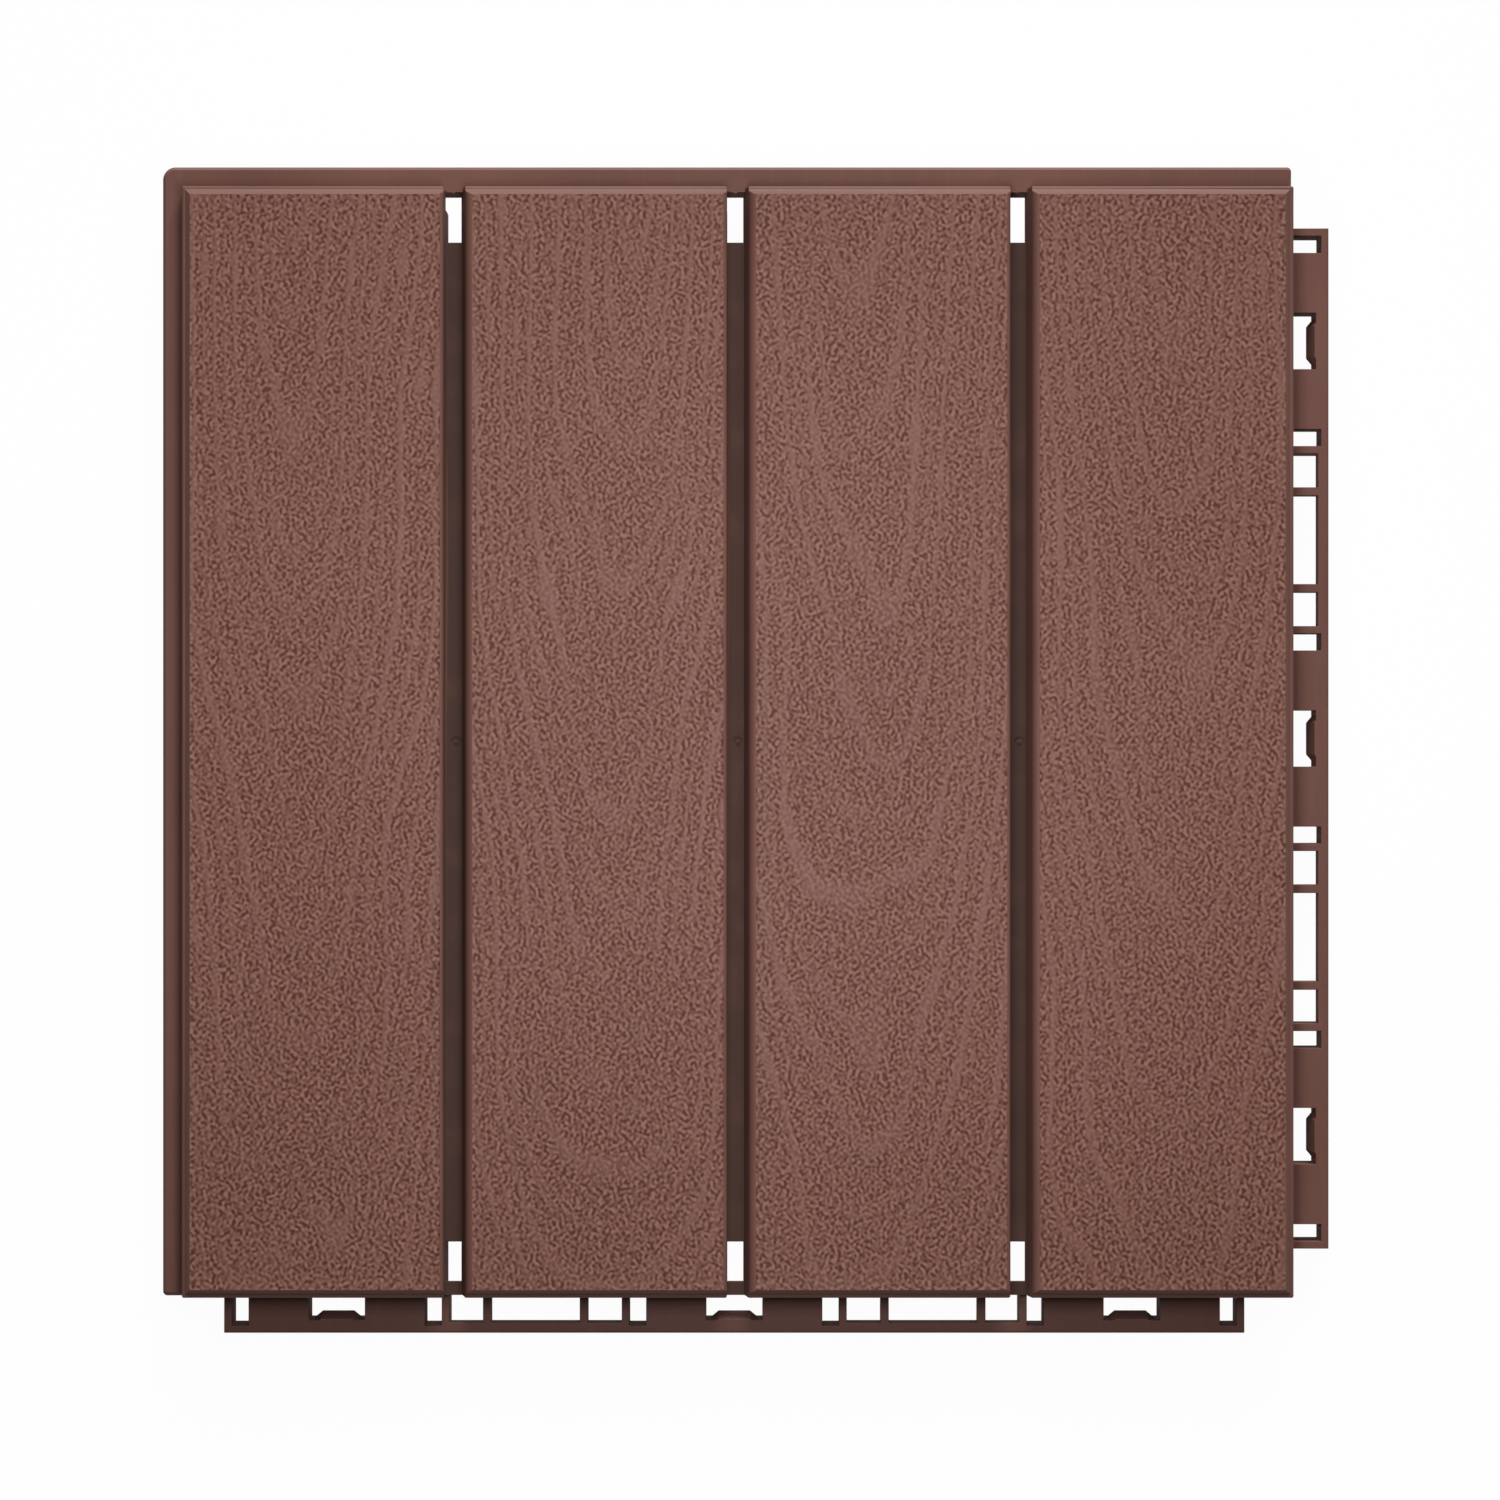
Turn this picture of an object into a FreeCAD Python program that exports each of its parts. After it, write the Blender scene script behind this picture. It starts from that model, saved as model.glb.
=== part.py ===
import FreeCAD, Part
import math
import os

# Interlocking deck tile, moulded in one piece. Sizes are in millimetres.
# X runs across the slats, Y along them and Z up. The origin is the middle of the
# footprint, on the ground. Slotted bands stand out on the east and south sides.
# On the west and north sides a ledge with snap hooks laps over a neighbour's bands.

Vector = FreeCAD.Vector

# The laid pattern
module = 300.0              # pitch from one laid tile to the next, both ways
slat_count = 4
slat_gap = 5.7              # between slats, and from slat to slat across a joint

# Levels
height = 22.0               # top of the slats above the ground
ledge_drop = 7.0            # slat tops down to the ledge
gap_drop = 8.6              # slat tops down to the gap floors
rib_lift = 8.5              # inner ribs end this far above the ground

# Walls
top_skin = 2.2
floor_skin = 1.8            # gap floors
ledge_skin = 2.0
side_wall = 2.0
rib = 1.4
pocket_draft = 0.25         # each pocket narrows upwards by this much a side

# Slat edges: a lip round the outside of the field, then a bevel up to the grained face.
# Beside a gap the edge is round: wide on the gap's east side, tight on its west side.
lip_width = 1.0
lip_drop = 1.5
lip_chamfer = 0.4
bevel_run = 1.3
west_gap_radius = 2.0       # on a slat's west edge
east_gap_radius = 0.9       # on a slat's east edge
slat_corner_radius = 0.6

# Ribs and feet under each slat
cell_columns = 3
cell_rows = 10
tie_rows = 3                # cross ribs that run on below the gap floors
tie_depth = 4.0             # and stand this far down from them
foot_radius = 4.0
foot_rise = 3.0             # the foot runs this far up into the rib crossing

# Ledge
ledge_corner_radius = 3.4
ledge_end_radius = 1.2
ledge_chamfer = 0.7
ledge_inset = 0.6           # it runs this far in between the slats
nib_radius = 0.65

# Drain holes at both ends of each gap
drain_width = 4.3
north_drain_start = 2.1
north_drain_length = 12.1
south_drain_start = 3.6
south_drain_length = 10.6
gap_slope_run = 1.2         # the gap's east wall leans out by this much above its floor

# Gate marks in the middle of each gap
gate_ring_radius = 1.5
gate_ring_depth = 0.3
gate_nib_radius = 0.5

# Slotted bands
band_reach = 10.4
band_clearance = 0.3        # air over a neighbour's band once the tiles are laid
band_shift = 1.9            # the bands sit this far towards the south-east corner
snap_count = 3
snap_pitch = 106.0
snap_slot_length = 15.0
snap_slot_depth = 7.0
plate_length = 16.0
plate_skin = 2.0
plate_wall = 1.6
pin_hole_length = 4.5
pin_hole_depth = 8.4
block_end_wall = 2.0
window_length = 9.0         # the short openings beside each block
window_depth = 7.6
crossbar = 2.2
lattice_depth = 6.0
band_edge_radius = 0.7

# Snap lugs in the slots, and the hooks that click under them
lug_reach = 1.9
lug_root_length = 13.0
lug_face_length = 8.4
lug_top_reach = 0.4
lug_slope = 5.0             # height of the lead-in
lug_depth = 1.8             # height of the upright part below it
hook_length = 11.0
hook_start = 1.0
hook_thickness = 2.0
hook_bite = 0.7
hook_play = 0.5
hook_lift = 1.2
hook_nose = 0.5
rebate_clearance = 0.5      # round a neighbour's band

# Places that follow
overall = module + band_reach
west = -overall / 2
east = west + module
north = overall / 2
south = north - module
pitch = module / slat_count
slat_width = pitch - slat_gap
field_west = west + slat_gap
field_north = north - slat_gap
lip_z = height - lip_drop
ledge_top = height - ledge_drop
ledge_under = ledge_top - ledge_skin
gap_floor = height - gap_drop
gap_under = gap_floor - floor_skin
pocket_top = height - top_skin
band_height = gap_under - band_clearance
rebate_depth = band_reach + rebate_clearance
block_length = (snap_slot_length + 2 * plate_length + 2 * pin_hole_length
                + 2 * block_end_wall)
band_length = (snap_count - 1) * snap_pitch + block_length
band_mid_x = west + module / 2 + band_shift
band_mid_y = south + module / 2 - band_shift
cut_margin = 1.0            # cutters run past the faces they open
touch = 0.001               # a point this near a face counts as on it
block_places = [(index - (snap_count - 1) / 2) * snap_pitch for index in range(snap_count)]


def block(x0, x1, y0, y1, z0, z1):
    return Part.makeBox(x1 - x0, y1 - y0, z1 - z0, Vector(x0, y0, z0))


def facet(points):
    return Part.Face(Part.makePolygon(points + points[:1]))


def between(foot, head):
    """The solid between two outlines with as many corners, with a flat face a side."""
    sides = [facet([foot[i - 1], foot[i], head[i], head[i - 1]]) for i in range(len(foot))]
    return Part.Solid(Part.Shell([facet(foot), facet(head)] + sides))


def tapered(x0, x1, y0, y1, z0, z1, draft):
    """A block whose four sides lean in by draft from its foot to its top."""
    foot = [Vector(x0, y0, z0), Vector(x1, y0, z0), Vector(x1, y1, z0), Vector(x0, y1, z0)]
    head = [Vector(x0 + draft, y0 + draft, z1), Vector(x1 - draft, y0 + draft, z1),
            Vector(x1 - draft, y1 - draft, z1), Vector(x0 + draft, y1 - draft, z1)]
    return between(foot, head)


def on(value, *places):
    return any(abs(value - place) < touch for place in places)


def edges_where(shape, test):
    """The edges whose two ends and middle all pass the test."""
    chosen = []
    for edge in shape.Edges:
        middle = edge.valueAt((edge.FirstParameter + edge.LastParameter) / 2)
        spots = [vertex.Point for vertex in edge.Vertexes] + [middle]
        if all(test(spot) for spot in spots):
            chosen.append(edge)
    return chosen


def spans(start, end, count, wall):
    """Equal bays from start to end with a wall between each two."""
    size = (end - start - (count - 1) * wall) / count
    return [(start + index * (size + wall), start + index * (size + wall) + size)
            for index in range(count)]


# Slats
def slat_sides(index):
    left = field_west + index * pitch
    return left, left + slat_width


def lip_edge():
    """From a slat's side up over the lip and the bevel, as steps inwards and levels."""
    return [Part.makePolygon([Vector(0, 0, 0), Vector(0, 0, lip_z - lip_chamfer),
                              Vector(lip_chamfer, 0, lip_z), Vector(lip_width, 0, lip_z),
                              Vector(lip_width + bevel_run, 0, height)])]


def round_edge(radius):
    """From a slat's side up round a quarter turn to its face."""
    half_turn = radius * (1 - math.sqrt(0.5))
    return [Part.makeLine(Vector(0, 0, 0), Vector(0, 0, height - radius)),
            Part.Arc(Vector(0, 0, height - radius), Vector(half_turn, 0, height - half_turn),
                     Vector(radius, 0, height)).toShape()]


def ridge(low_edge, high_edge, width, length):
    """A bar along +Y with these edges at X 0 and at X width."""
    far_edge = []
    for line in high_edge:
        turned = line.copy()
        turned.rotate(Vector(width / 2, 0, 0), Vector(0, 0, 1), 180)
        far_edge.append(turned)
    near_top = low_edge[-1].Vertexes[-1].Point
    far_top = far_edge[-1].Vertexes[-1].Point
    closing = [Part.makeLine(near_top, far_top),
               Part.makeLine(Vector(0, 0, 0), Vector(width, 0, 0))]
    edges = [edge for line in low_edge + far_edge + closing for edge in line.Edges]
    section = Part.Face(Part.Wire(Part.__sortEdges__(edges)))
    return section.extrude(Vector(0, length, 0))


def slat(index):
    left, right = slat_sides(index)
    length = field_north - south
    west_edge = lip_edge() if index == 0 else round_edge(west_gap_radius)
    east_edge = lip_edge() if index == slat_count - 1 else round_edge(east_gap_radius)
    across = ridge(west_edge, east_edge, slat_width, length)
    across.translate(Vector(left, south, 0))
    along = ridge(lip_edge(), lip_edge(), length, slat_width)
    along.rotate(Vector(0, 0, 0), Vector(0, 0, 1), 90)
    along.translate(Vector(right, south, 0))
    rounded = block(left, right, south, field_north, 0, height)
    upright = edges_where(rounded, lambda spot: on(spot.x, left, right)
                          and on(spot.y, south, field_north))
    rounded = rounded.makeFillet(slat_corner_radius, upright)
    return across.common(along).common(rounded)


def rib_bays(index):
    """The inside of a slat, clear of its walls and of the ledge-side rebates."""
    left, right = slat_sides(index)
    inner_left = left + side_wall
    if index == 0:
        inner_left = west + rebate_depth + side_wall
    return inner_left, right - side_wall, south + side_wall, north - rebate_depth - side_wall


def slat_pockets(index):
    x0, x1, y0, y1 = rib_bays(index)
    rows = spans(y0, y1, cell_rows, rib)
    columns = spans(x0, x1, cell_columns, rib)
    edge_row = (north - rebate_depth, field_north - side_wall)
    pockets = [tapered(cx0, cx1, cy0, cy1, -cut_margin, pocket_top, pocket_draft)
               for cx0, cx1 in columns for cy0, cy1 in rows + [edge_row]]
    if index == 0:
        edge_column = (field_west + side_wall, west + rebate_depth)
        pockets += [tapered(*edge_column, cy0, cy1, -cut_margin, pocket_top, pocket_draft)
                    for cy0, cy1 in rows]
    pockets.append(block(x0, x1, y0, y1, -cut_margin, rib_lift))
    return pockets


def feet(index):
    """Round feet where the long ribs cross the first and the last of the cross ribs."""
    x0, x1, y0, y1 = rib_bays(index)
    columns = spans(x0, x1, cell_columns, rib)
    rows = spans(y0, y1, cell_rows, rib)
    return [Part.makeCylinder(foot_radius, rib_lift + foot_rise,
                              Vector(column[1] + rib / 2, row_end + rib / 2, 0))
            for column in columns[:-1] for row_end in (rows[0][1], rows[-2][1])]


# Gaps between the slats
def gap_sides(index):
    left = slat_sides(index)[1]
    return left, left + slat_gap


def gap_web(index):
    """The gap's floor, its sloped wall, the ledge's inset with its nib, and ties below."""
    left, right = gap_sides(index)
    bite = side_wall / 2
    slope_top = height - west_gap_radius
    floor = block(left - bite, right + bite, south, field_north + bite, gap_under, gap_floor)
    inset = block(left - bite, right + bite, field_north - ledge_inset,
                  field_north + bite, gap_under, ledge_top)
    nib = Part.makeCylinder(nib_radius, ledge_top - gap_under,
                            Vector(left + drain_width / 2, field_north - ledge_inset, gap_under))
    rows = spans(*rib_bays(index)[2:], cell_rows, rib)
    tied = [rows[round((number + 0.5) * cell_rows / tie_rows) - 1][1]
            for number in range(tie_rows)]
    ties = [block(left - bite, right + bite, place, place + rib,
                  gap_under - tie_depth, gap_under) for place in tied]
    slope = facet([Vector(x, south, z) for x, z in (
        (right - gap_slope_run, gap_floor), (right - gap_slope_run, gap_under),
        (right + bite, gap_under), (right + bite, slope_top), (right, slope_top))])
    slope = slope.extrude(Vector(0, field_north - south, 0))
    return [floor, inset, nib, slope] + ties


def gap_openings(index):
    """Two drain holes against the west side of the gap, and the ring of the gate mark."""
    left, right = gap_sides(index)
    north_edge = field_north - north_drain_start
    south_edge = south + south_drain_start
    low = -cut_margin
    drains = [block(left, left + drain_width, north_edge - north_drain_length, north_edge,
                    low, gap_floor + cut_margin),
              block(left, left + drain_width, south_edge, south_edge + south_drain_length,
                    low, gap_floor + cut_margin)]
    middle = Vector((left + right) / 2, (south + field_north) / 2, gap_floor - gate_ring_depth)
    ring = Part.makeCylinder(gate_ring_radius, gate_ring_depth + cut_margin, middle)
    nib = Part.makeCylinder(gate_nib_radius, gate_ring_depth, middle)
    return drains + [ring.cut(nib)]


# Ledge along the west and north sides
def corner_arc(centre_x, centre_y, radius, start_angle, z):
    """A quarter turn, counted from start_angle in degrees."""
    circle = Part.Circle(Vector(centre_x, centre_y, z), Vector(0, 0, 1), radius)
    start = math.radians(start_angle)
    return Part.Arc(circle, start, start + math.pi / 2).toShape()


def ledge():
    z = ledge_under
    big = ledge_corner_radius
    small = ledge_end_radius
    inner_x = field_west + side_wall / 2
    inner_y = field_north - side_wall / 2

    def line(x0, y0, x1, y1):
        return Part.makeLine(Vector(x0, y0, z), Vector(x1, y1, z))

    rim = Part.Wire([
        line(west, south + small, west, north - big),
        corner_arc(west + big, north - big, big, 90, z),
        line(west + big, north, east - small, north),
        corner_arc(east - small, north - small, small, 0, z),
        line(east, north - small, east, inner_y),
        line(east, inner_y, inner_x, inner_y),
        line(inner_x, inner_y, inner_x, south),
        line(inner_x, south, west + small, south),
        corner_arc(west + small, south + small, small, 180, z),
    ])
    plate = Part.Face(rim).extrude(Vector(0, 0, ledge_skin))
    outer = edges_where(plate, lambda spot: on(spot.z, ledge_top)
                        and (spot.x < west + big or spot.y > north - big)
                        and (spot.x < field_west or spot.y > field_north))
    return plate.makeChamfer(ledge_chamfer, outer)


# Bands. They are drawn for the east side: X outwards from the body and Y along it.
def band_block_cuts(place):
    """Slot, pin holes and the hollows below the plates of one block."""
    low = -cut_margin
    high = band_height + cut_margin
    half_slot = snap_slot_length / 2
    half_block = block_length / 2
    cuts = [block(low, snap_slot_depth, place - half_slot, place + half_slot, low, high)]
    for side in (-1, 1):
        hole = sorted((place + side * (half_block - block_end_wall),
                       place + side * (half_block - block_end_wall - pin_hole_length)))
        cuts.append(block(low, pin_hole_depth, *hole, low, high))
        hollow = sorted((place + side * (half_slot + plate_wall),
                         place + side * (half_slot + plate_length - plate_wall)))
        cuts.append(tapered(plate_wall, band_reach - plate_wall, *hollow,
                            low, band_height - plate_skin, pocket_draft))
    return cuts


def lattice_cuts(start, end):
    """Three openings between two blocks, and the space below their bars."""
    low = -cut_margin
    high = band_height + cut_margin
    cuts = [block(low, band_reach + cut_margin, start, end, low, band_height - lattice_depth)]
    stations = [start, start + window_length, start + window_length + crossbar,
                end - window_length - crossbar, end - window_length, end]
    for first, last in zip(stations[0::2], stations[1::2]):
        cuts.append(block(low, window_depth, first, last, low, high))
    return cuts


def lug(place):
    """A wedge on the slot's outer wall, with sloped ends and a sloped lead-in on top."""
    root = snap_slot_depth + side_wall / 2
    half_root = lug_root_length / 2
    half_face = lug_face_length / 2

    def section(reach, z):
        share = reach / lug_reach
        half = half_face + (half_root - half_face) * share
        face = snap_slot_depth - reach
        points = [(root, place - half), (snap_slot_depth, place - half),
                  (face, place - half_face), (face, place + half_face),
                  (snap_slot_depth, place + half), (root, place + half)]
        return [Vector(x, y, z) for x, y in points]

    shoulder = band_height - lug_slope
    slope = between(section(lug_reach, shoulder), section(lug_top_reach, band_height))
    post = facet(section(lug_reach, shoulder - lug_depth)).extrude(Vector(0, 0, lug_depth))
    return post.fuse(slope)


def band():
    half = band_length / 2
    bar = block(-side_wall / 2, band_reach, -half, half, 0, band_height)
    outer = edges_where(bar, lambda spot: on(spot.z, band_height)
                        and on(spot.x, band_reach))
    bar = bar.makeFillet(band_edge_radius, outer)
    cuts = []
    for place in block_places:
        cuts += band_block_cuts(place)
    for place in block_places[:-1]:
        cuts += lattice_cuts(place + block_length / 2,
                             place + snap_pitch - block_length / 2)
    return bar.cut(cuts).fuse([lug(place) for place in block_places])


def hooks():
    """Hooks in the same layout as the slots, since they enter a neighbour's slots."""
    stem = hook_start + hook_thickness
    reach = snap_slot_depth - lug_reach + hook_bite
    catch = band_height - lug_slope - lug_depth - hook_play
    profile = [(hook_start, ledge_top - ledge_chamfer), (stem, ledge_top - ledge_chamfer),
               (stem, catch), (reach, catch - hook_nose), (stem + hook_nose, hook_lift),
               (hook_start, hook_lift)]
    made = []
    for place in block_places:
        face = facet([Vector(x, place - hook_length / 2, z) for x, z in profile])
        made.append(face.extrude(Vector(0, hook_length, 0)))
    return made


def rebate():
    """The space that a neighbour's band takes under the ledge and the slat edges."""
    half = band_length / 2 + rebate_clearance
    return block(-cut_margin, rebate_depth, -half, half, -cut_margin, gap_under)


def on_east(shape, offset=0.0):
    placed = shape.copy()
    placed.translate(Vector(east + offset, band_mid_y, 0))
    return placed


def on_south(shape, offset=0.0):
    placed = shape.copy()
    placed.rotate(Vector(0, 0, 0), Vector(0, 0, 1), -90)
    placed.translate(Vector(band_mid_x, south + offset, 0))
    return placed


def deck_tile():
    slats = range(slat_count)
    gaps = range(slat_count - 1)
    body = slat(0).fuse([slat(index) for index in slats[1:]]
                        + [web for index in gaps for web in gap_web(index)]
                        + [ledge()])
    body = body.cut([pocket for index in slats for pocket in slat_pockets(index)]
                    + [on_east(rebate(), -module), on_south(rebate(), module)])
    body = body.fuse([foot for index in slats for foot in feet(index)]
                     + [on_east(band()), on_south(band())]
                     + [on_east(hook, -module) for hook in hooks()]
                     + [on_south(hook, module) for hook in hooks()])
    body = body.cut([opening for index in gaps for opening in gap_openings(index)])
    return body.removeSplitter()


os.makedirs("parts", exist_ok=True)
tile = deck_tile()
print("solids", len(tile.Solids), "valid", tile.isValid(), "faces", len(tile.Faces),
      "volume", round(tile.Volume / 1000, 1), "cm3", tile.BoundBox)
tile.Solids[0].exportStep("parts/deck_tile.step")
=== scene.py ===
import math

import bmesh
import bpy
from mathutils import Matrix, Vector, noise


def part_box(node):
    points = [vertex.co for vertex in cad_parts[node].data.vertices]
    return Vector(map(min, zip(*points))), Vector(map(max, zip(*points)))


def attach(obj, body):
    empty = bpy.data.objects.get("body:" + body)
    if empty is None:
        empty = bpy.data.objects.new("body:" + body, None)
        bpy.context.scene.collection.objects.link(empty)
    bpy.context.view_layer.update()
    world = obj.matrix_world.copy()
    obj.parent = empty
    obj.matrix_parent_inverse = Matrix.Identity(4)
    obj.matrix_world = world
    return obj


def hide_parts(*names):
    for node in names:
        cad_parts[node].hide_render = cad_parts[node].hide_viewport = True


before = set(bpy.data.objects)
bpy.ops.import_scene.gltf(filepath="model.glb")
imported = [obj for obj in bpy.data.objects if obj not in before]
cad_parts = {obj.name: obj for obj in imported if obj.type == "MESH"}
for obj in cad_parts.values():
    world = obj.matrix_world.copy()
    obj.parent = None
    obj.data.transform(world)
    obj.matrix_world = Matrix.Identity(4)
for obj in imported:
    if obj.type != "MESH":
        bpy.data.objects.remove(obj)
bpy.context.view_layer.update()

# Sizes in metres, in the frame of the solids: X across the slats, Y along them, Z up
MM = 0.001
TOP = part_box("deck_tile")[1].z
GAP_FLOOR = TOP - 8.6 * MM
EDGE_SOFTENING = 0.14 * MM     # width of the rounding on the moulding's outer edges
PANEL_DEPTH = 0.6 * MM         # the grained face is its own skin, this deep
GRAIN_DEPTH = 0.10 * MM        # the stippled ground lies this far below the veins
GRID_ACROSS = 0.35 * MM
GRID_ALONG = 1.6 * MM

# Wood grain: the rings of a trunk whose heart dips to the south below each slat
VEIN_PITCH = 3.1 * MM
STRONG_HALF_WIDTH = 0.42 * MM
FAINT_HALF_WIDTH = 0.26 * MM
PATCH_WIDENING = 2.0 * MM
VEIN_EDGE = 0.4 * MM           # a vein sinks into the ground over this width
HEART_ASIDE = 4 * MM           # to the west and the east of the slat's middle by turns
HEART_DEPTH = 4 * MM
HEART_DIP = 0.12               # how much deeper it gets per length to the south
HEART_START = 150 * MM         # it has that depth this far north of the slat's middle
HEART_STEP = 10 * MM           # and so much further north on each next slat
SWAY = 6 * MM
HEAVE = 4 * MM
RIPPLE = 0.14                  # in ring pitches

# Browns, in linear light
PIT_BROWN = (0.070, 0.012, 0.003, 1.0)
GROUND_BROWN = (0.095, 0.020, 0.006, 1.0)
CRUMB_BROWN = (0.260, 0.122, 0.094, 1.0)
FLECK_BROWN = (0.420, 0.240, 0.190, 1.0)
SMOOTH_BROWN = (0.140, 0.060, 0.045, 1.0)
SMOOTH_LIGHT = (0.190, 0.084, 0.065, 1.0)
# painted shade: the dark brown put on the floors of the gaps
PAINTED_SHADE_BROWN = (0.078, 0.040, 0.031, 1.0)

# The studio's whites and greys
WHITE = (1.0, 1.0, 1.0, 1.0)
FLOOR_TO_EYE = (0.94, 0.94, 0.94, 1.0)
FLOOR_TO_LIGHT = (0.15, 0.15, 0.15, 1.0)
WHITE_SHARE = 0.97             # the rest of the floor's brightness keeps the shadow
SKY_LIGHT = 0.10


# Nodes
class Tree:
    """Short calls for a node tree: new nodes, links, and values on sockets."""

    def __init__(self, tree):
        self.tree = tree

    def add(self, kind, inputs=None, **settings):
        node = self.tree.nodes.new(kind)
        for name, value in settings.items():
            setattr(node, name, value)
        for name, value in (inputs or {}).items():
            self.feed(node.inputs[name], value)
        return node

    def feed(self, socket, value):
        if isinstance(value, bpy.types.NodeSocket):
            self.tree.links.new(value, socket)
        else:
            socket.default_value = value

    def math(self, operation, first, second=None, clamp=False):
        node = self.add("ShaderNodeMath", operation=operation, use_clamp=clamp)
        self.feed(node.inputs[0], first)
        if second is not None:
            self.feed(node.inputs[1], second)
        return node.outputs[0]

    def mix(self, factor, first, second, kind="FLOAT"):
        node = self.add("ShaderNodeMix", data_type=kind)
        places = {"FLOAT": (0, 2, 3, 0), "RGBA": (0, 6, 7, 2)}[kind]
        for place, value in zip(places, (factor, first, second)):
            self.feed(node.inputs[place], value)
        return node.outputs[places[3]]

    def ramp(self, value, start, end, low=0.0, high=1.0):
        node = self.add("ShaderNodeMapRange", {"Value": value, "From Min": start, "From Max": end,
                                               "To Min": low, "To Max": high},
                        interpolation_type="SMOOTHSTEP")
        return node.outputs["Result"]

    def noise(self, vector, scale, detail, roughness=0.5):
        node = self.add("ShaderNodeTexNoise", {"Vector": vector, "Scale": scale, "Detail": detail,
                                               "Roughness": roughness})
        return node.outputs["Fac"]

    def height_of(self, vector):
        return self.add("ShaderNodeSeparateXYZ", {"Vector": vector}).outputs["Z"]

    def bump(self, strength, distance, height):
        node = self.add("ShaderNodeBump", {"Strength": strength, "Distance": distance,
                                           "Height": height})
        return node.outputs["Normal"]


def group(name, inputs, outputs):
    """A new shader node group with named sockets; returns its tree, inputs and outputs."""
    made = bpy.data.node_groups.new(name, "ShaderNodeTree")
    for label, kind, value in inputs:
        socket = made.interface.new_socket(label, in_out="INPUT", socket_type="NodeSocket" + kind)
        if value is not None:
            socket.default_value = value
    for label, kind in outputs:
        made.interface.new_socket(label, in_out="OUTPUT", socket_type="NodeSocket" + kind)
    tree = Tree(made)
    return tree, tree.add("NodeGroupInput").outputs, tree.add("NodeGroupOutput").inputs


def stipple_group():
    """Moulded stipple: dark pits and pale worm-like crumbs of one size, mostly upright."""
    t, given, out = group("grain_stipple",
                          [("Vector", "Vector", None), ("Stipple Scale", "Float", 520.0),
                           ("Patch Scale", "Float", 500.0), ("Vein", "Float", 0.0)],
                          [("Relief", "Float"), ("Pits", "Float"), ("Flecks", "Float")])
    gabor = t.add("ShaderNodeTexGabor", {"Vector": given["Vector"],
                                         "Scale": given["Stipple Scale"],
                                         "Frequency": 1.2, "Anisotropy": 0.15}, gabor_type="2D")
    turn = next(socket for socket in gabor.inputs if socket.identifier == "Orientation 2D")
    turn.default_value = 0.0
    patches = t.noise(given["Vector"], given["Patch Scale"], detail=0.5)
    crumbs = t.ramp(t.mix(0.2, gabor.outputs["Value"], patches), 0.31, 0.69)
    relief = t.mix(t.math("MULTIPLY", given["Vein"], 0.70), crumbs, 0.77)
    t.feed(out["Relief"], relief)
    t.feed(out["Pits"], t.ramp(relief, 0.25, 0.05))
    t.feed(out["Flecks"], t.ramp(relief, 0.85, 1.00))
    return t.tree


def cloud_group():
    """Soft unevenness of a large moulding: broad tone, streaks along the slats, fine marks."""
    t, given, out = group("moulding_cloud",
                          [("Vector", "Vector", None), ("Broad Scale", "Float", 14.0)],
                          [("Tone", "Float"), ("Streak", "Float"), ("Fine", "Float")])
    point = given["Vector"]
    along = t.add("ShaderNodeMapping", {"Vector": point, "Scale": (1.0, 0.08, 1.0)})
    broad = t.noise(point, given["Broad Scale"], detail=3.0, roughness=0.55)
    t.feed(out["Tone"], t.ramp(broad, 0.3, 0.7))
    t.feed(out["Streak"], t.noise(along.outputs["Vector"], 420.0, detail=3.0, roughness=0.6))
    t.feed(out["Fine"], t.noise(point, 2600.0, detail=2.0, roughness=0.6))
    return t.tree


def gap_floor_shade_group():
    """Painted shade: darkens the floors of the gaps, where shade falls between the slats."""
    t, given, out = group("gap_floor_shade", [("Vector", "Vector", None), ("Normal", "Vector", None)],
                          [("Painted Shade", "Float")])
    height = t.height_of(given["Vector"])
    # painted shade: a mask for the upward faces at the level of the gap floors
    level = t.math("MULTIPLY", t.ramp(height, GAP_FLOOR - 1.2 * MM, GAP_FLOOR - 0.6 * MM),
                   t.ramp(height, GAP_FLOOR + 0.9 * MM, GAP_FLOOR + 0.2 * MM))
    painted_shade = t.math("MULTIPLY", level, t.ramp(t.height_of(given["Normal"]), 0.70, 0.95))
    patchy = t.ramp(t.noise(given["Vector"], 90.0, detail=3.0), 0.2, 0.6, 0.75, 1.0)
    t.feed(out["Painted Shade"], t.math("MULTIPLY", painted_shade, patchy))
    return t.tree


STIPPLE = stipple_group()
CLOUD = cloud_group()
GAP_FLOOR_SHADE = gap_floor_shade_group()


def plastic(name, specular):
    """A new material; returns it with its tree, shader, Object coordinates and cloud."""
    material = bpy.data.materials.new(name)
    material.use_nodes = True
    t = Tree(material.node_tree)
    shader = material.node_tree.nodes["Principled BSDF"].inputs
    shader["Specular IOR Level"].default_value = specular
    point = t.add("ShaderNodeTexCoord").outputs["Object"]
    cloud = t.add("ShaderNodeGroup", {"Vector": point}, node_tree=CLOUD).outputs
    return material, t, shader, point, cloud


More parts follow.
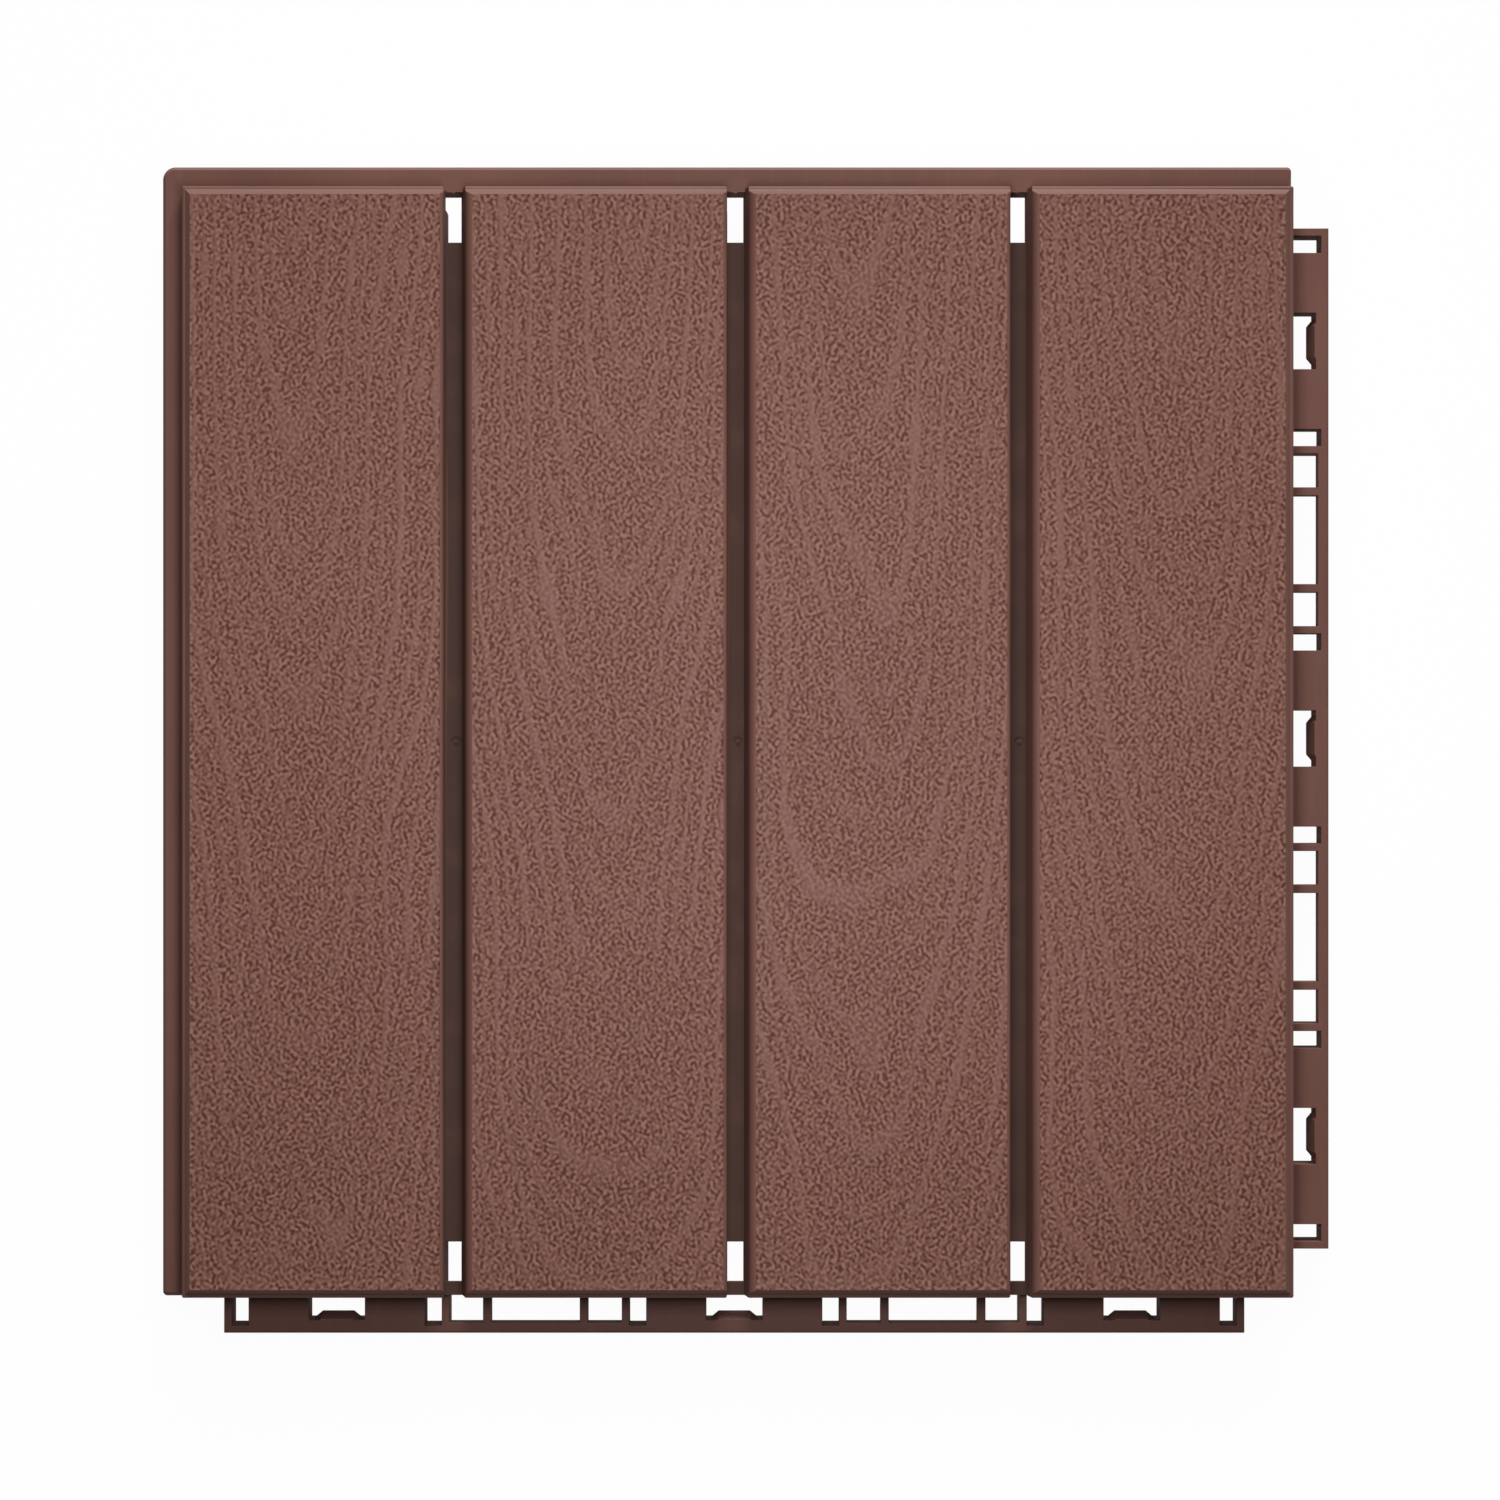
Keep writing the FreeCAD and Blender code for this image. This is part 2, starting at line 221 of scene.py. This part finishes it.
def grained_plastic():
    """Slat faces: stippled ground with smoother, paler veins of the wood grain."""
    cloud_strength, pit_strength, fleck_strength = 0.07, 0.4, 0.1
    material, t, shader, point, cloud = plastic("grained_brown_plastic", 0.42)
    vein = t.add("ShaderNodeAttribute", attribute_name="vein").outputs["Fac"]
    stipple = t.add("ShaderNodeGroup", {"Vector": point, "Vein": vein}, node_tree=STIPPLE).outputs
    lift = t.math("MULTIPLY", t.math("SUBTRACT", cloud["Tone"], 0.5), cloud_strength)
    tone = t.math("ADD", stipple["Relief"], lift, clamp=True)
    pits = t.math("MULTIPLY", stipple["Pits"], pit_strength)
    flecks = t.math("MULTIPLY", stipple["Flecks"], fleck_strength)
    colour = t.mix(tone, GROUND_BROWN, CRUMB_BROWN, "RGBA")
    colour = t.mix(pits, colour, PIT_BROWN, "RGBA")
    colour = t.mix(flecks, colour, FLECK_BROWN, "RGBA")
    t.feed(shader["Base Color"], colour)
    t.feed(shader["Roughness"], t.mix(vein, 0.62, 0.52))
    t.feed(shader["Normal"], t.bump(0.5, 0.08 * MM, stipple["Relief"]))
    return material


def smooth_plastic():
    """Everything off the slat faces: plain moulded plastic with faint flow, and painted shade on
    the gap floors.

    Its upright walls and the shaded gap floors are duller than its upper sides."""
    dull_roughness = 0.88
    material, t, shader, point, cloud = plastic("smooth_brown_plastic", 0.30)
    normal = t.add("ShaderNodeNewGeometry").outputs["Normal"]
    painted_shade = t.add("ShaderNodeGroup", {"Vector": point, "Normal": normal},
                 node_tree=GAP_FLOOR_SHADE).outputs["Painted Shade"]
    colour = t.mix(t.math("MULTIPLY", cloud["Tone"], 0.6), SMOOTH_BROWN, SMOOTH_LIGHT, "RGBA")
    streaks = t.ramp(cloud["Streak"], 0.50, 0.75, 0.0, 0.35)
    colour = t.mix(streaks, colour, SMOOTH_LIGHT, "RGBA")
    # painted shade: the gap floors are mixed towards a dark brown, patchy in strength
    colour = t.mix(painted_shade, colour, PAINTED_SHADE_BROWN, "RGBA")
    t.feed(shader["Base Color"], colour)
    walls = t.ramp(t.math("ABSOLUTE", t.height_of(normal)), 0.50, 0.15)
    upper_roughness = t.ramp(cloud["Tone"], 0.0, 1.0, 0.48, 0.58)
    t.feed(shader["Roughness"],
           t.mix(t.math("MAXIMUM", painted_shade, walls), upper_roughness, dull_roughness))
    height = t.math("ADD", t.math("MULTIPLY", cloud["Streak"], 0.4),
                    t.math("MULTIPLY", cloud["Fine"], 0.6))
    t.feed(shader["Normal"], t.bump(0.25, 0.04 * MM, height))
    return material


GRAINED = grained_plastic()
SMOOTH = smooth_plastic()


# Pieces
def finish_piece(bm, name, material, sharp_angle):
    for face in bm.faces:
        face.smooth = True
    mesh = bpy.data.meshes.new(name)
    bm.to_mesh(mesh)
    bm.free()
    mesh.materials.clear()
    mesh.materials.append(material)
    mesh.set_sharp_from_angle(angle=math.radians(sharp_angle))
    piece = bpy.data.objects.new(name, mesh)
    bpy.context.scene.collection.objects.link(piece)
    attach(piece, "root")
    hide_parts("deck_tile")
    return piece


def outer_edges(bm):
    """Long convex edges between two faces of some size, off the rims of the slat faces."""
    shortest = 0.9 * MM
    smallest = 0.5 * MM * MM
    least_turn = math.radians(30)
    chosen = []
    for edge in bm.edges:
        if len(edge.link_faces) != 2 or edge.calc_length() < shortest:
            continue
        if all(vert.co.z > TOP - EDGE_SOFTENING for vert in edge.verts):
            continue
        if min(face.calc_area() for face in edge.link_faces) < smallest:
            continue
        if edge.calc_face_angle_signed() > least_turn:
            chosen.append(edge)
    return chosen


def slat_faces(bm):
    return [face for face in bm.faces
            if face.normal.z > 0.9999 and face.calc_center_median().z > TOP - 0.01 * MM]


def face_corners(face):
    """The west, south, east and north limits of a face."""
    across = [vert.co.x for vert in face.verts]
    along = [vert.co.y for vert in face.verts]
    return min(across), min(along), max(across), max(along)


def tile_body():
    """The whole moulding from the solid, with softened edges and sunk slat faces.

    Returns the limits of each slat face, from west to east."""
    bm = bmesh.new()
    bm.from_mesh(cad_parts["deck_tile"].data)
    bmesh.ops.remove_doubles(bm, verts=bm.verts, dist=0.002 * MM)
    bmesh.ops.join_triangles(bm, faces=bm.faces, angle_face_threshold=math.radians(0.5),
                             angle_shape_threshold=math.radians(180))
    bmesh.ops.bevel(bm, geom=outer_edges(bm), offset=EDGE_SOFTENING, segments=2, profile=0.5,
                    affect="EDGES", material=-1, clamp_overlap=False)
    tops = slat_faces(bm)
    corners = sorted(face_corners(face) for face in tops)
    bmesh.ops.inset_individual(bm, faces=tops, thickness=0.0, depth=-PANEL_DEPTH)
    body = finish_piece(bm, "tile_body", SMOOTH, sharp_angle=21)
    keep_flats = body.modifiers.new("flat_faces", "WEIGHTED_NORMAL")
    keep_flats.keep_sharp = True
    return corners


def unit(value):
    return min(1.0, max(0.0, value))


def drift(across, along, layer):
    """Smooth noise from -1 to 1, which changes over about one unit of each value."""
    return noise.noise(Vector((across, along, layer)))


def vein_height(x, y, slat):
    """How far a point of a slat face lies on a vein of the wood grain, from 0 to 1.

    The trunk's rings are cut flat: they are straight at the slat's sides, and arches that
    point south in its middle. Every second one is strong. Where they run along the slat
    they swell into smooth patches here and there, and fade out in others."""
    layer = 7.3 * slat
    sway = drift(x / (30 * MM), y / (90 * MM), layer)
    heave = drift(x / (18 * MM), y / (60 * MM), layer + 40)
    ripple = drift(x / (5 * MM), y / (14 * MM), layer + 80)
    across = x + SWAY * sway + (-1) ** slat * HEART_ASIDE
    depth = HEART_DEPTH + HEART_DIP * (HEART_START + HEART_STEP * slat - y) + HEAVE * heave
    radius = math.hypot(across, depth)
    ring = radius / VEIN_PITCH + RIPPLE * ripple
    upright = abs(across) / radius
    number = round(ring)
    away = abs(ring - number) * VEIN_PITCH
    strong = number % 2 == 0
    swell = drift(3.7 * number, y / (11 * MM), layer + 120)
    fading = drift(5.1 * number, y / (45 * MM), layer + 160)
    half_width = STRONG_HALF_WIDTH if strong else FAINT_HALF_WIDTH
    half_width += PATCH_WIDENING * upright * max(0.0, swell - 0.24)
    line = unit((half_width - away) / VEIN_EDGE + 0.5)
    return line * unit((1.0 if strong else 0.6) + 1.5 * fading) * (0.38 + 0.62 * upright)


def grain_panel(slat, west, south, east, north):
    """A slat's grained face: a thin closed skin with veins and ground in relief."""
    centre = Vector(((west + east) / 2, (south + north) / 2, TOP))
    bm = bmesh.new()
    bmesh.ops.create_grid(bm, x_segments=round((east - west) / GRID_ACROSS),
                          y_segments=round((north - south) / GRID_ALONG), size=0.5)
    bmesh.ops.scale(bm, vec=(east - west, north - south, 1.0), verts=bm.verts)
    vein_layer = bm.verts.layers.float.new("vein")
    rim = [edge for edge in bm.edges if edge.is_boundary]
    for vert in bm.verts:
        vein = vein_height(vert.co.x, vert.co.y, slat)
        vert[vein_layer] = vein
        vert.co.z = -GRAIN_DEPTH * (1.0 - vein)
    for vert in {vert for edge in rim for vert in edge.verts}:
        vert.co.z = 0.0
    bmesh.ops.translate(bm, vec=centre, verts=bm.verts)
    skirt = bmesh.ops.extrude_edge_only(bm, edges=rim)["geom"]
    for item in skirt:
        if isinstance(item, bmesh.types.BMVert):
            item.co.z = TOP - PANEL_DEPTH
    bottom = [item for item in skirt if isinstance(item, bmesh.types.BMEdge) and item.is_boundary]
    bmesh.ops.edgeloop_fill(bm, edges=bottom)
    bmesh.ops.recalc_face_normals(bm, faces=bm.faces)
    finish_piece(bm, "grain_panel_%d" % (slat + 1), GRAINED, sharp_angle=40)


for slat, corners in enumerate(tile_body()):
    grain_panel(slat, *corners)


# Floor, light and camera
def white_to_eye(t, lit, share):
    """Mixes a surface with plain white where the camera, a gloss or glass sees it."""
    path = t.add("ShaderNodeLightPath").outputs
    seen = t.math("MAXIMUM", path["Is Camera Ray"],
                  t.math("MAXIMUM", path["Is Glossy Ray"], path["Is Transmission Ray"]))
    white = t.add("ShaderNodeEmission", {"Color": WHITE, "Strength": 1.0})
    mix = t.add("ShaderNodeMixShader")
    t.feed(mix.inputs[0], t.math("MULTIPLY", seen, share))
    t.feed(mix.inputs[1], lit)
    t.feed(mix.inputs[2], white.outputs[0])
    return mix.outputs[0]


def studio_floor():
    reach = 6.0
    bm = bmesh.new()
    bmesh.ops.create_grid(bm, x_segments=1, y_segments=1, size=reach)
    mesh = bpy.data.meshes.new("studio_floor")
    bm.to_mesh(mesh)
    bm.free()
    floor = bpy.data.objects.new("studio_floor", mesh)
    bpy.context.scene.collection.objects.link(floor)
    material = bpy.data.materials.new("white_floor")
    material.use_nodes = True
    material.node_tree.nodes.clear()
    t = Tree(material.node_tree)
    eye = t.add("ShaderNodeLightPath").outputs["Is Camera Ray"]
    colour = t.mix(eye, FLOOR_TO_LIGHT, FLOOR_TO_EYE, "RGBA")
    lit = t.add("ShaderNodeBsdfDiffuse", {"Color": colour}).outputs[0]
    output = t.add("ShaderNodeOutputMaterial")
    t.feed(output.inputs["Surface"], white_to_eye(t, lit, WHITE_SHARE))
    mesh.materials.append(material)


def studio_world():
    world = bpy.data.worlds.new("studio")
    world.use_nodes = True
    world.node_tree.nodes.clear()
    t = Tree(world.node_tree)
    eye = t.add("ShaderNodeLightPath").outputs["Is Camera Ray"]
    strength = t.mix(eye, SKY_LIGHT, 1.0)
    sky = t.add("ShaderNodeBackground", {"Color": WHITE, "Strength": strength})
    output = t.add("ShaderNodeOutputWorld")
    t.feed(output.inputs["Surface"], sky.outputs[0])
    bpy.context.scene.world = world


def soft_box(name, place, size, watts):
    """A rectangular lamp that faces the middle of the tile."""
    lamp = bpy.data.lights.new(name, "AREA")
    lamp.shape = "RECTANGLE"
    lamp.size, lamp.size_y = size
    lamp.energy = watts
    holder = bpy.data.objects.new(name, lamp)
    holder.location = place
    holder.rotation_euler = (-Vector(place)).to_track_quat("-Z", "Y").to_euler()
    bpy.context.scene.collection.objects.link(holder)


def photo_camera():
    """Straight above the tile, with a frame about 400 mm wide at the slat tops."""
    view_width = 396.5 * MM
    distance = 1.25
    sensor = 36.0
    aside, up = 0.9 * MM, 0.25 * MM
    camera = bpy.data.cameras.new("photo_camera")
    camera.sensor_width = sensor
    camera.lens = sensor * distance / view_width
    camera.clip_start, camera.clip_end = 0.01, 50.0
    holder = bpy.data.objects.new("photo_camera", camera)
    holder.location = (aside, up, TOP + distance)
    bpy.context.scene.collection.objects.link(holder)
    bpy.context.scene.camera = holder


studio_floor()
studio_world()
soft_box("key_north", place=(0.42, 2.60, 1.55), size=(1.9, 1.0), watts=78.0)
soft_box("rim_north", place=(0.30, 2.20, 0.42), size=(1.6, 0.24), watts=28.0)
soft_box("overhead", place=(0.0, 0.005, 0.38), size=(0.14, 0.20), watts=0.64)
photo_camera()
bpy.context.scene.view_settings.view_transform = "Standard"
